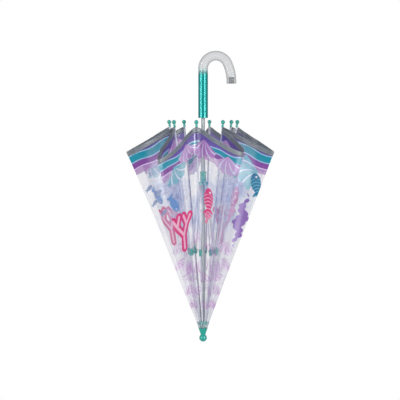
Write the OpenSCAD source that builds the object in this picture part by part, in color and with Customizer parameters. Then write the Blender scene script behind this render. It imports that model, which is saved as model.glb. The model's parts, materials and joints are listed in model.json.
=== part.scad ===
// Children's umbrella, closed and hanging with its hook handle up.
// The origin is on the shaft's axis at the lowest point of the ferrule. +Z runs up to the handle,
// and the hook curls towards +X. The runner slides down the shaft to open the canopy.

/* [Handle] */
// Diameter of the handle's rod
handle_d = 21.3; // [18:0.1:26]
// Height of the handle's lower end above the ferrule's tip
handle_z = 493; // [490:1:600]
// Length of the straight grip
grip_l = 108; // [90:1:140]
// Radius of the hook's crown bend
hook_r = 27.8; // [24:0.1:36]
// Angle that the crown bend turns past its highest point
hook_past_a = 68; // [55:1:75]
// Straight length between the crown bend and the long bend
hook_link_l = 3.2; // [2:0.1:12]
// Radius of the long bend down to the hook's end
hook_long_r = 97.6; // [60:0.1:120]
// Straight length at the hook's end
hook_end_l = 4; // [2.5:0.5:12]
// Rounding of the rod's two ends
handle_round = 2; // [1:0.1:2.4]
// Depth of the socket that holds the shaft
socket_l = 60; // [40:1:80]
// Diameter of the end plug
plug_d = 12; // [8:0.1:14]
// Length of the end plug
plug_l = 14; // [8:0.5:18]

/* [Shaft] */
// Outer diameter of the shaft tube
shaft_d = 8; // [7.4:0.1:8.6]
// Wall of the shaft tube
shaft_wall = 0.8; // [0.6:0.1:1]
// Diameter of the stop pin and of the catches' rivets
pin_d = 1.6; // [1.2:0.1:2]
// How far the stop pin stands out of the shaft on each side
stop_out = 1.6; // [1:0.1:2]

/* [Catches] */
// Thickness of a catch blade
catch_t = 1.4; // [1:0.1:1.6]
// Depth of a catch blade beside its nose
catch_blade = 1.6; // [1.2:0.1:1.8]
// Length of a catch from its rivet to its nose's flat side
catch_l = 24; // [20:0.5:30]
// Length of the nose along the shaft
nose_l = 9; // [7:0.5:12]
// How far the nose stands out of the shaft
nose_out = 2.9; // [2.2:0.1:3.4]
// Gap between a nose and the runner that it holds
catch_gap = 1.2; // [1:0.1:2]

/* [Ferrule] */
// Diameter of the ball at the ferrule's tip
ball_d = 16.8; // [14:0.1:20]
// Diameter of the neck above the ball
neck_d = 10.4; // [9.8:0.1:13]
// Height of the neck above the tip
neck_z = 15.4; // [14:0.1:17]
// Diameter of the cup's rim
cup_d = 20.4; // [18:0.1:24]
// Height of the cup's rim above the tip
cup_z = 30; // [27:0.1:34]
// Wall of the cup at its rim
cup_wall = 1.2; // [0.8:0.1:1.8]
// Depth of the cup's hollow
cup_depth = 6; // [4:0.5:8]

/* [Top notch] */
// Radius of the wire ring that the ribs hinge on
notch_r = 7.5; // [7:0.1:9]
// Height of the wire ring above the tip
notch_z = 42; // [40:0.5:50]
// Diameter of the wire ring
wire_d = 1.1; // [0.9:0.05:1.4]
// Height of the notch's body
notch_h = 7; // [6:0.5:9]
// Thickness of the washer that holds the film against the notch
washer_t = 1.2; // [0.8:0.1:2]

/* [Ribs] */
// Number of ribs
ribs = 8; // [8:1:8]
// Angle of rib 1 round the shaft from the plane of the hook
rib_turn = -11; // [-22:0.5:22]
// Length of a rib from its hinge to the end of its tip
rib_l = 452; // [380:1:470]
// Width of the rib's channel
rib_w = 3; // [2.8:0.1:3.4]
// Depth of the rib's channel
rib_t = 2.8; // [2.4:0.1:3.2]
// Wall of the rib's channel
rib_wall = 0.5; // [0.4:0.05:0.6]
// Thickness of the flat eye that hinges on the wire
eye_t = 1.6; // [1.2:0.1:1.7]
// Radius of the flat eye
eye_r = 1.9; // [1.7:0.1:2.2]
// Angle of a closed rib from the shaft
rib_closed_a = 8.8; // [8:0.1:11]
// Angle of an open rib from the shaft
rib_open_a = 46; // [40:0.5:52]

/* [Tips and clips] */
// Diameter of the ball on a rib's tip
tip_d = 9; // [7:0.1:11]
// Diameter of the tip's sleeve
sleeve_d = 5; // [4.8:0.1:6]
// Length of the tip's sleeve
tip_sleeve_l = 7; // [6:0.5:10]
// Distance of a clip's rivet along the rib from the rib's hinge
clip_u = 160; // [130:1:190]
// Distance of a clip's rivet from the rib's centreline, towards the shaft
clip_in = 4.2; // [4:0.1:5]
// Length of a clip along the rib
clip_l = 15; // [12:0.5:20]
// Wall of a clip outside the rib's channel
clip_wall = 0.8; // [0.6:0.1:1]
// Thickness of a clip's two ears beside the stretcher
ear_t = 1.5; // [1.2:0.1:1.7]
// Diameter of a clip's rivet
rivet_d = 1.6; // [1.2:0.1:1.8]

/* [Stretchers] */
// Length of a stretcher between its two hinges
stretcher_l = 150; // [130:1:180]
// Thickness of a stretcher across the rib's plane
stretcher_t = 1.6; // [1.2:0.1:1.8]
// Depth of a stretcher in the rib's plane
stretcher_h = 2.8; // [2.2:0.1:3]
// Radius of a stretcher's eye at the clip
clip_eye_r = 1.7; // [1.5:0.1:1.8]
// Radius of a stretcher's eye at the runner
runner_eye_r = 1.4; // [1.2:0.1:1.5]

/* [Runner] */
// Radius of the circle of the stretchers' eyes in the runner's crown
crown_eye_r = 9; // [8.8:0.1:11]
// Outer radius of the runner's crown
crown_r = 11; // [10.6:0.1:14]
// Height of the runner's crown
crown_h = 6; // [5:0.5:8]
// Outer radius of the runner's sleeve
sleeve_r = 6; // [5.6:0.1:6.2]
// Length of the runner's sleeve above the crown
sleeve_l = 23; // [18:0.5:34]
// Height of the thumb flange at the sleeve's top
flange_h = 3; // [2:0.5:4]
// How far the thumb flange stands out of the sleeve
flange_out = 1.4; // [0.8:0.1:3]

/* [Canopy] */
// Distance of the film's fold line outside a rib's centreline
film_out = 3; // [2.8:0.1:4]
// Thickness of the film's solid
film_t = 0.8; // [0.6:0.1:0.8]
// Distance along a rib where the film's solids begin
film_start = 26; // [22:1:40]
// Distance from the end of a rib's tip to the film's hem at the rib
hem_gap = 16; // [14:0.5:30]
// How much nearer to the ferrule the hem is in the middle of a gore, along the open ribs
hem_sag = 12; // [4:0.5:40]
// Gap between a film solid and the fold line at its rib
film_rib_gap = 3.5; // [3.2:0.1:5]
// Gap between a film solid and the middle fold of its gore
film_fold_gap = 2.8; // [2.6:0.1:4]
// How far each closed gore leans round the shaft, in degrees, for gores 1 to 8
gore_lean = [17, 0, 0, 0, 11, 0, 17, 0];

/* [Fits] */
// Radial clearance of the hinges and of the runner on the shaft
run_fit = 0.08; // [0.05:0.01:0.1]
// Clearance of pieces that are pressed together
press_gap = 0.02; // [0.01:0.01:0.04]
// Side clearance of a piece that moves in a slot
slot_gap = 0.3; // [0.3:0.05:0.4]

/* [Hidden] */
eps = 0.01;                                // overlap that keeps a cut clean
small_fn = 24;
round_fn = 64;
rod_sides = 40;
crown_steps = 18;
long_steps = 4;

step_a = 360 / ribs;                       // angle from one rib to the next
function rib_az(k) = rib_turn + (k - 1) * step_a;
function gore_az(k) = rib_az(k) + step_a / 2;
key_a = gore_az(1);                        // the catches and the keyway lie between two ribs
stop_a = gore_az(2);                       // the stop pin misses the keyway

// Handle: two bends in the XZ plane with a short straight link, all tangent, as [x, z] of their centres
hook_z = handle_z + grip_l;
crown_c = [hook_r, hook_z];
link_dir = [cos(hook_past_a), -sin(hook_past_a)];
link_start = crown_c + hook_r * [sin(hook_past_a), cos(hook_past_a)];
long_c = link_start + hook_link_l * link_dir - hook_long_r * [sin(hook_past_a), cos(hook_past_a)];
hook_end_x = long_c[0] + hook_long_r;
hook_end_z = long_c[1] - hook_end_l;
plug_floor = 3;                            // solid end of the hollow plug

// Shaft
shaft_r = shaft_d / 2;
bore_r = shaft_r - shaft_wall;
shaft_top = handle_z + socket_l - press_gap;

// Main fold: a rib at angle a puts its clip's rivet and the runner's eyes at these places
function clip_x(a) = notch_r + clip_u * sin(a) - clip_in * cos(a);
function clip_z(a) = notch_z + clip_u * cos(a) + clip_in * sin(a);
function stretcher_a(a) = asin((clip_x(a) - crown_eye_r) / stretcher_l);
function runner_z(a) = clip_z(a) + stretcher_l * cos(stretcher_a(a));
runner_closed = runner_z(rib_closed_a);
runner_open = runner_z(rib_open_a);
sleeve_top = crown_h / 2 + sleeve_l;       // above the eyes

// Catches: the lower one holds the closed runner up, the upper one holds the open runner down
lower_face_z = runner_closed - crown_h / 2 - catch_gap;
upper_face_z = runner_open + sleeve_top + catch_gap;
nose_bury = 1.2;                           // the nose begins this far inside the shaft's surface
nose_edge = 0.6;                           // height of the nose's outer edge
catch_eye_r = 1.9;
stop_z = runner_open - crown_h / 2 - pin_d;

// Ribs
eye_tang = 12;                             // the eye's flat tang reaches this far into the channel
channel_start = 6.5;
tip_u = rib_l - tip_d / 2;                 // centre of the tip's ball
sleeve_u = tip_u - tip_d / 2 - tip_sleeve_l;
tip_socket = 5;                            // the rib ends this far inside the tip's sleeve and ball
rib_end = sleeve_u + tip_sleeve_l + tip_socket / 2;
clip_w = stretcher_t + 2 * (slot_gap + ear_t);

// Film panels. A panel turns on the fold line along its rib, by an angle that is 0 towards the
// shaft, 90 round the shaft and 180 straight outwards. Side s is 1 for the panel on a gore's
// first rib and -1 for the panel on its second rib.
film_l = rib_l - hem_gap;                  // hem at a rib, along the rib from its hinge
corner_f = film_l - hem_sag;               // hem in the middle of a gore, along the open ribs
lean_carry = 0.144;                        // share of a closed gore's lean that the open gore keeps
corner_trim = 1.5;                         // the solid stops this far short of the gore's corner
function vdot(a, b) = a[0] * b[0] + a[1] * b[1] + a[2] * b[2];
function out_dir(az) = [cos(az), sin(az), 0];
function round_dir(az) = [-sin(az), cos(az), 0];
function along(az, a) = sin(a) * out_dir(az) + cos(a) * [0, 0, 1];
function away(az, a) = cos(a) * out_dir(az) - sin(a) * [0, 0, 1];
function fold_origin(az, a) = notch_r * out_dir(az) + [0, 0, notch_z] + film_out * away(az, a);

// Point of the open gore's plane at azimuth `side` and at distance f along the ribs
function open_point(az1, az2, f, side) =
    let (p1 = fold_origin(az1, rib_open_a) + f * along(az1, rib_open_a),
         p2 = fold_origin(az2, rib_open_a) + f * along(az2, rib_open_a),
         b = round_dir(side))
    p1 - vdot(b, p1) / vdot(b, p2 - p1) * (p2 - p1);
// The same point in a panel's own flat coordinates: along its rib and away from it
function flat_u(az, p) = vdot(p - fold_origin(az, rib_open_a), along(az, rib_open_a));
function flat_v(az, p) = norm(p - fold_origin(az, rib_open_a) - flat_u(az, p) * along(az, rib_open_a));
// Panel angle at which flat point (u, v) of a closed gore reaches the upright plane at `side`
function closed_panel_a(az, s, u, v, side) =
    let (b = round_dir(side),
         p = -v * vdot(b, away(az, rib_closed_a)),
         q = v * s * vdot(b, round_dir(az)),
         r = -vdot(b, fold_origin(az, rib_closed_a) + u * along(az, rib_closed_a)))
    (atan2(q, p) + s * acos(r / norm([p, q])) + 360) % 360;
// Where the open fold lines of two ribs meet, along the rib
apex_u = -(notch_r + film_out * cos(rib_open_a)) / sin(rib_open_a);

// Stations of the handle's rod as [x, z, turn, radius]: the grip, the crown bend, the link, the long
// bend and the hook's end. Turn is the angle of the rod's direction from +Z towards +X.
function rod_station(c, r, turn) = [c[0] - r * cos(turn), c[1] + r * sin(turn), turn, handle_d / 2];
function round_station(x, z, turn, a) =
    [x, z + cos(turn) * handle_round * (1 - cos(a)), turn, handle_d / 2 - handle_round * (1 - sin(a))];
rod_stations = concat(
    [for (a = [0:22.5:90]) round_station(0, handle_z, 0, a)],
    [for (i = [0:crown_steps]) rod_station(crown_c, hook_r, i / crown_steps * (90 + hook_past_a))],
    [for (i = [0:long_steps]) rod_station(long_c, hook_long_r, 90 + hook_past_a
                                          + i / long_steps * (90 - hook_past_a))],
    [for (a = [90:-22.5:0]) round_station(hook_end_x, hook_end_z, 180, a)]
);
function rod_ring(s) = [for (i = [0:rod_sides - 1]) let (a = 360 * i / rod_sides)
    [s[0] + s[3] * cos(a) * cos(s[2]), s[3] * sin(a), s[1] - s[3] * cos(a) * sin(s[2])]];

// The rod, as one skin through its stations
module rod() {
    last = len(rod_stations) - 1;
    polyhedron(
        [for (s = rod_stations) each rod_ring(s)],
        concat(
            [[for (i = [0:rod_sides - 1]) i]],
            [for (j = [0:last - 1], i = [0:rod_sides - 1]) let (n = (i + 1) % rod_sides, base = j * rod_sides)
                [base + i, base + rod_sides + i, base + rod_sides + n, base + n]],
            [[for (i = [rod_sides - 1:-1:0]) last * rod_sides + i]]
        )
    );
}

module handle() color([0.09, 0.62, 0.60]) difference() {
    rod();
    translate([0, 0, handle_z - eps]) cylinder(r = shaft_r + press_gap, h = socket_l + eps, $fn = round_fn);
    translate([hook_end_x, 0, hook_end_z - eps]) cylinder(d = plug_d, h = plug_l + eps, $fn = round_fn);
}

module handle_plug() color([0.80, 0.83, 0.84]) translate([hook_end_x, 0, hook_end_z]) difference() {
    cylinder(d = plug_d - 2 * press_gap, h = plug_l - press_gap, $fn = round_fn);
    translate([0, 0, -eps]) cylinder(d = plug_d / 2, h = plug_l - plug_floor, $fn = small_fn);
}

// Places its children across the shaft, at azimuth a and height z
module across(a, z) rotate([0, 0, a]) translate([0, 0, z]) rotate([90, 0, 0]) children();

module shaft() color([0.75, 0.76, 0.78]) difference() {
    translate([0, 0, neck_z]) cylinder(r = shaft_r, h = shaft_top - neck_z, $fn = round_fn);
    translate([0, 0, neck_z - eps]) cylinder(r = bore_r, h = shaft_top, $fn = round_fn);
    for (z = [lower_face_z - nose_l, upper_face_z]) rotate([0, 0, key_a])
        translate([0, -catch_t / 2 - slot_gap, z - catch_gap])
            cube([shaft_d, catch_t + 2 * slot_gap, nose_l + 2 * catch_gap]);
    for (z = [lower_face_z - catch_l, upper_face_z + catch_l])
        across(key_a, z) cylinder(d = pin_d + 2 * press_gap, h = 2 * shaft_d, center = true, $fn = small_fn);
    across(stop_a, stop_z) cylinder(d = pin_d + 2 * press_gap, h = 2 * shaft_d, center = true, $fn = small_fn);
}

module ferrule() color([0.07, 0.67, 0.61]) difference() {
    union() {
        translate([0, 0, ball_d / 2]) sphere(d = ball_d, $fn = round_fn);
        translate([0, 0, neck_z - cup_depth / 2]) cylinder(d = neck_d, h = cup_depth, $fn = round_fn);
        rotate_extrude($fn = round_fn) polygon([
            [0, neck_z], [neck_d / 2, neck_z],
            for (t = [0.25:0.25:1]) [(neck_d + (cup_d - neck_d) * pow(t, 1.15)) / 2,
                                     neck_z + (cup_z - neck_z) * t],
            [0, cup_z]
        ]);
    }
    translate([0, 0, neck_z - press_gap]) cylinder(r = shaft_r + press_gap, h = cup_z, $fn = round_fn);
    translate([0, 0, cup_z - cup_depth]) cylinder(r1 = shaft_r + cup_wall, r2 = cup_d / 2 - cup_wall,
                                                  h = cup_depth + eps, $fn = round_fn);
}

module top_notch() color([0.07, 0.60, 0.56]) translate([0, 0, notch_z]) difference() {
    cylinder(r = notch_r + eye_r - slot_gap, h = notch_h, center = true, $fn = round_fn);
    cylinder(r = shaft_r + press_gap, h = 2 * notch_h, center = true, $fn = round_fn);
    rotate_extrude($fn = round_fn) translate([notch_r, 0]) circle(d = wire_d + 2 * press_gap, $fn = small_fn);
    for (k = [1:ribs]) rotate([0, 0, rib_az(k)])
        translate([notch_r - eye_r - slot_gap, -eye_t / 2 - slot_gap, -notch_h])
            cube([2 * notch_r, eye_t + 2 * slot_gap, 2 * notch_h]);
}

module notch_wire() color([0.70, 0.70, 0.72]) translate([0, 0, notch_z])
    rotate_extrude($fn = round_fn) translate([notch_r, 0]) circle(d = wire_d, $fn = small_fn);

module canopy_washer() color([0.85, 0.86, 0.88])
    translate([0, 0, notch_z - notch_h / 2 - press_gap - washer_t]) difference() {
        cylinder(r = notch_r + washer_t, h = washer_t, $fn = round_fn);
        translate([0, 0, -washer_t]) cylinder(r = shaft_r + press_gap, h = 3 * washer_t, $fn = round_fn);
    }

// The two rivets that the catches swing on, inside the shaft
module catch_rivets() color([0.60, 0.60, 0.62])
    for (z = [lower_face_z - catch_l, upper_face_z + catch_l])
        across(key_a, z) cylinder(d = pin_d, h = shaft_d, center = true, $fn = small_fn);

module stop_pin() color([0.60, 0.60, 0.62])
    across(stop_a, stop_z) cylinder(d = pin_d, h = shaft_d + 2 * stop_out, center = true, $fn = small_fn);

// A blade on a rivet, with a nose that stands out of the shaft. The nose's flat side is at height 0
// and faces up, and the rivet is below it.
module catch_blade() linear_extrude(catch_t, center = true) difference() {
    union() {
        translate([0, -catch_l]) circle(r = catch_eye_r, $fn = small_fn);
        polygon([
            [-catch_eye_r, -catch_l], [catch_eye_r, -catch_l], [shaft_r - nose_bury, -nose_l],
            [shaft_r + nose_out, -nose_edge], [shaft_r + nose_out, 0],
            [shaft_r - nose_bury - catch_blade, 0]
        ]);
    }
    translate([0, -catch_l]) circle(d = pin_d + 2 * run_fit, $fn = small_fn);
}

module lower_catch() color([0.78, 0.78, 0.80]) across(key_a, lower_face_z) catch_blade();
module upper_catch() color([0.78, 0.78, 0.80]) across(key_a, upper_face_z) mirror([0, 1, 0]) catch_blade();

module runner() color([0.10, 0.66, 0.62]) translate([0, 0, runner_closed]) difference() {
    union() {
        cylinder(r = crown_r, h = crown_h, center = true, $fn = round_fn);
        cylinder(r = sleeve_r, h = sleeve_top, $fn = round_fn);
        translate([0, 0, sleeve_top - flange_h])
            cylinder(r = sleeve_r + flange_out, h = flange_h, $fn = round_fn);
    }
    cylinder(r = shaft_r + run_fit, h = 3 * sleeve_top, center = true, $fn = round_fn);
    for (k = [1:ribs]) rotate([0, 0, rib_az(k)])
        translate([sleeve_r + slot_gap, -stretcher_t / 2 - slot_gap, -crown_h])
            cube([crown_r, stretcher_t + 2 * slot_gap, 1.5 * crown_h + eps]);
    rotate([0, 0, key_a]) translate([0, -catch_t / 2 - slot_gap, -crown_h])
        cube([2 * crown_r, catch_t + 2 * slot_gap, 2 * crown_h + sleeve_l]);
}

// Places its children on closed rib k: X away from the shaft, Y round it, Z along the rib
module on_rib(k)
    rotate([0, 0, rib_az(k)]) translate([notch_r, 0, notch_z]) rotate([0, rib_closed_a, 0]) children();

// A fluted rib: a channel open towards the shaft, with a flat eye at its hinge
module rib(k) color([0.86, 0.87, 0.89]) on_rib(k) {
    difference() {
        union() {
            translate([-rib_t / 2, -rib_w / 2, channel_start]) cube([rib_t, rib_w, rib_end - channel_start]);
            rotate([90, 0, 0]) cylinder(r = eye_r, h = eye_t, center = true, $fn = small_fn);
            translate([-rib_t / 2, -eye_t / 2, 0]) cube([rib_t - rib_wall / 2, eye_t, channel_start + eps]);
        }
        translate([-rib_t, -rib_w / 2 + rib_wall, eye_tang])
            cube([2 * rib_t - rib_t / 2 - rib_wall, rib_w - 2 * rib_wall, rib_l]);
        rotate([90, 0, 0]) cylinder(d = wire_d + 2 * run_fit, h = 2 * eye_t, center = true, $fn = small_fn);
    }
}

// A ball on a stem, with a sleeve that the rib's end and the film's corner are fixed in
module tip(k) color([0.07, 0.62, 0.58]) on_rib(k) difference() {
    union() {
        translate([0, 0, tip_u]) sphere(d = tip_d, $fn = 32);
        translate([0, 0, sleeve_u]) cylinder(d = sleeve_d, h = tip_sleeve_l + tip_d / 4, $fn = small_fn);
    }
    translate([-rib_t / 2 - press_gap, -rib_w / 2 - press_gap, sleeve_u - eps])
        cube([rib_t + 2 * press_gap, rib_w + 2 * press_gap, rib_end + press_gap - sleeve_u]);
}

// A clip round the rib, with two ears and the rivet that the stretcher turns on
module clip(k) color([0.07, 0.62, 0.58]) on_rib(k) translate([0, 0, clip_u]) {
    difference() {
        union() {
            translate([-clip_in, -clip_w / 2, -clip_l / 2]) cube([clip_in + rib_t / 2 + clip_wall, clip_w, clip_l]);
            translate([-clip_in, 0, 0]) rotate([90, 0, 0])
                cylinder(r = clip_eye_r + ear_t / 2, h = clip_w, center = true, $fn = small_fn);
        }
        translate([-rib_t / 2 - press_gap, -rib_w / 2 - press_gap, -clip_l])
            cube([rib_t + 2 * press_gap, rib_w + 2 * press_gap, 2 * clip_l]);
        translate([-2 * clip_in - rib_t, -stretcher_t / 2 - slot_gap, -clip_l])
            cube([clip_in + rib_t + clip_eye_r + slot_gap, stretcher_t + 2 * slot_gap, 2 * clip_l]);
    }
    translate([-clip_in, 0, 0]) rotate([90, 0, 0])
        cylinder(d = rivet_d, h = clip_w, center = true, $fn = small_fn);
}

// A flat bar with an eye at the clip's rivet and an open-pivot eye in the runner's crown
module stretcher(k) color([0.80, 0.81, 0.83])
    rotate([0, 0, rib_az(k)]) translate([clip_x(rib_closed_a), 0, clip_z(rib_closed_a)])
        rotate([0, -stretcher_a(rib_closed_a), 0]) difference() {
            union() {
                translate([-stretcher_h / 2, -stretcher_t / 2, 0]) cube([stretcher_h, stretcher_t, stretcher_l]);
                rotate([90, 0, 0]) cylinder(r = clip_eye_r, h = stretcher_t, center = true, $fn = small_fn);
                translate([0, 0, stretcher_l]) rotate([90, 0, 0])
                    cylinder(r = runner_eye_r, h = stretcher_t, center = true, $fn = small_fn);
            }
            rotate([90, 0, 0])
                cylinder(d = rivet_d + 2 * run_fit, h = 2 * stretcher_t, center = true, $fn = small_fn);
        }

// Half of gore k's film: side 1 hangs on rib k, side -1 on rib k + 1
module film(k, s) color([0.80, 0.78, 0.90, 0.6]) {
    az = rib_az(s > 0 ? k : k + 1);
    lean = gore_lean[k - 1];
    corner = open_point(rib_az(k), rib_az(k + 1), corner_f, gore_az(k) + lean_carry * lean);
    cu = flat_u(az, corner);
    cv = flat_v(az, corner);
    fold = [cu - apex_u, cv] / norm([cu - apex_u, cv]);        // along the gore's middle fold
    inset = film_fold_gap * [fold[1], -fold[0]];               // from the fold towards the rib
    start = [apex_u, 0] + (film_start - apex_u - inset[0]) / fold[0] * fold + inset;
    end = [cu, cv] - corner_trim * fold + inset;
    rotate([0, 0, az]) translate([notch_r, 0, notch_z]) rotate([0, rib_closed_a, 0])
        translate([film_out, 0, 0])
            rotate([0, 0, s * (180 - closed_panel_a(az, s, cu, cv, gore_az(k) + lean))])
                rotate([90, 0, 0]) linear_extrude(film_t, center = true)
                    polygon([[film_rib_gap, film_start], [start[1], start[0]], [end[1], end[0]],
                             [film_rib_gap, film_l]]);
}

handle();
handle_plug();
shaft();
ferrule();
top_notch();
notch_wire();
canopy_washer();
catch_rivets();
stop_pin();
lower_catch();
upper_catch();
runner();
for (k = [1:ribs]) {
    rib(k);
    tip(k);
    clip(k);
    stretcher(k);
    film(k, 1);
    film(k, -1);
}
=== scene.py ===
# %% [markdown]
# # A child's umbrella with a clear printed canopy
# The imported model gives every rigid piece its place: shaft, ribs, stretchers, runner, notch and
# tips. This lesson loads it, measures the boxes of its parts, and keeps a few short names for what
# comes again and again.

# %% Load the frame and measure it
import json
import math

import bmesh
import bpy
import numpy as np
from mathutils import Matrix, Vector

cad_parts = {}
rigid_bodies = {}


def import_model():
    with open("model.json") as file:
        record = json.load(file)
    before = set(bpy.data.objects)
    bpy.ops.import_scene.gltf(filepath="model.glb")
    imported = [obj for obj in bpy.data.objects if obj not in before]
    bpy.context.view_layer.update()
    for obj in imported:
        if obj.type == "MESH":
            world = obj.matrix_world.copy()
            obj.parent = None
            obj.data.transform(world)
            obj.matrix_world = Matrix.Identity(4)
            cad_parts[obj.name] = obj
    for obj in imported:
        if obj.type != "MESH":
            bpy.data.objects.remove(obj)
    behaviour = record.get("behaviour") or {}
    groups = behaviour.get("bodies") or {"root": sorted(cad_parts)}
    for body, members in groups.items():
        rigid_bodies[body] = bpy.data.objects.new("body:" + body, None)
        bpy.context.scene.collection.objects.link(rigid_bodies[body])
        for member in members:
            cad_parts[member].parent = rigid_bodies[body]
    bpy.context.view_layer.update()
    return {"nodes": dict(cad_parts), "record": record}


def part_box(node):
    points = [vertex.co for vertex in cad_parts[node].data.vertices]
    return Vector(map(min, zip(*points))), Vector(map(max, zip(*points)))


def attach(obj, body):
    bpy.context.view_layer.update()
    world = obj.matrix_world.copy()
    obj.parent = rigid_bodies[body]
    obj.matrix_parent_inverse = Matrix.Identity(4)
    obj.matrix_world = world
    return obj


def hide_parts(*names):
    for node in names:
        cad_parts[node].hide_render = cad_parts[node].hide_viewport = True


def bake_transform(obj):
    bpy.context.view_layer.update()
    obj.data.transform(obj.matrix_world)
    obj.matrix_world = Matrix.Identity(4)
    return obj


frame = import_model()
nodes = frame["nodes"]
joints = {j["name"]: j for j in frame["record"]["behaviour"]["joints"]}
MM = 0.001
RIBS = 8
MERGE_UNDER = 0.001 * MM


# %% Helpers for working in edit mode and for finishing a piece
def start_clean():
    """Leaves edit mode and selects nothing."""
    if bpy.context.object and bpy.context.object.mode != "OBJECT":
        bpy.ops.object.mode_set(mode="OBJECT")
    bpy.ops.object.select_all(action="DESELECT")


def only(obj):
    """Makes one object the only one selected, and the active one."""
    start_clean()
    obj.select_set(True)
    bpy.context.view_layer.objects.active = obj
    return obj


SMOOTH_UNDER = math.radians(40)


def settle(obj, name, material):
    """Names a finished piece, puts its place into its mesh, and gives it a material and
    smooth shading."""
    only(obj)
    obj.name = name
    obj.data.name = name
    bpy.ops.object.transform_apply(location=True, rotation=True, scale=True)
    obj.data.materials.clear()
    obj.data.materials.append(material)
    bpy.ops.object.shade_smooth_by_angle(angle=SMOOTH_UNDER)
    return obj


# %% [markdown]
# ## Studio
# The umbrella hangs in front of white. A narrow soft box stands on either side and lights it
# gently, with a wide strip just behind each that only reflections show: the strips draw the two
# bright lines down the handle. The world is pure white where the camera looks straight at it and
# greyer for everything that it lights, so that round pieces keep dark edges. The floor is a pale
# disc well below, because the umbrella hangs from its hook.

# %% World, floor, lights and camera
scene = bpy.context.scene
scene.view_settings.view_transform = "Standard"
scene.cycles.transparent_max_bounces = 48
world = bpy.data.worlds.new("studio")
scene.world = world
world.use_nodes = True
wn, wl = world.node_tree.nodes, world.node_tree.links
wn.clear()
ray = wn.new("ShaderNodeLightPath")
seen, lit = wn.new("ShaderNodeBackground"), wn.new("ShaderNodeBackground")
pick, out = wn.new("ShaderNodeMixShader"), wn.new("ShaderNodeOutputWorld")
for shade, colour, strength in ((seen, (1, 1, 1, 1), 1.0), (lit, (0.93, 0.95, 1.0, 1), 0.55)):
    shade.inputs["Color"].default_value = colour
    shade.inputs["Strength"].default_value = strength
wl.new(ray.outputs["Is Camera Ray"], pick.inputs["Fac"])
wl.new(lit.outputs["Background"], pick.inputs[1])
wl.new(seen.outputs["Background"], pick.inputs[2])
wl.new(pick.outputs["Shader"], out.inputs["Surface"])

VIEW_CENTRE = Vector((-0.0068, 0, 0.3132))
VIEW_DISTANCE = 3.0
VIEW_WIDTH = 0.878
VIEW_RISE = math.radians(3.5)
SENSOR = 36.0
cam_data = bpy.data.cameras.new("camera")
camera = bpy.data.objects.new("camera", cam_data)
scene.collection.objects.link(camera)
cam_data.sensor_width = SENSOR
cam_data.lens = SENSOR * VIEW_DISTANCE / VIEW_WIDTH
cam_data.clip_start = 0.05
view_from = Vector((0, -math.cos(VIEW_RISE), math.sin(VIEW_RISE)))
camera.location = VIEW_CENTRE + VIEW_DISTANCE * view_from
camera.rotation_euler = (VIEW_CENTRE - camera.location).to_track_quat("-Z", "Y").to_euler()
scene.camera = camera


def soft_box(name, place, aim, size, watts, only_shine=False):
    """A rectangular lamp; with only_shine it is seen in reflections and lights nothing matt."""
    data = bpy.data.lights.new(name, "AREA")
    data.shape = "RECTANGLE"
    data.size, data.size_y = size
    data.energy = watts
    lamp = bpy.data.objects.new(name, data)
    scene.collection.objects.link(lamp)
    lamp.location = place
    lamp.rotation_euler = (Vector(aim) - Vector(place)).to_track_quat("-Z", "Y").to_euler()
    lamp.visible_diffuse = not only_shine


AIM = (0, 0, 0.35)
BOX_SIZE, STRIP_SIZE = (0.34, 1.6), (0.95, 1.8)
BOX_WATTS, STRIP_WATTS = 13, 38
soft_box("soft_box_left", (-1.5, -1.17, 0.45), AIM, BOX_SIZE, BOX_WATTS)
soft_box("soft_box_right", (1.27, -1.4, 0.45), AIM, BOX_SIZE, BOX_WATTS)
soft_box("strip_left", (-1.52, -1.18, 0.45), AIM, STRIP_SIZE, STRIP_WATTS, only_shine=True)
soft_box("strip_right", (1.29, -1.41, 0.45), AIM, STRIP_SIZE, STRIP_WATTS, only_shine=True)
soft_box("soft_box_back", (0.3, 1.7, 1.1), (0, 0, 0.3), (1.6, 1.0), 8)

FLOOR_RADIUS, FLOOR_Z = 1.1, -0.45
bpy.ops.mesh.primitive_circle_add(vertices=96, radius=FLOOR_RADIUS, fill_type="NGON",
                                  location=(0, 0, FLOOR_Z))
floor = bpy.context.object
floor.name = "floor"

# %% [markdown]
# ## Finishes
# Every surface here is moulded plastic, steel or printed film. What they share is put in node
# groups: `moulding` gives plastic its slight unevenness, and `drawn_metal` the fine lines that a
# tube gets when it is drawn. A group puts out colours, masks and heights. The shader stays in the
# material, so that its plain values stay plain.


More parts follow.
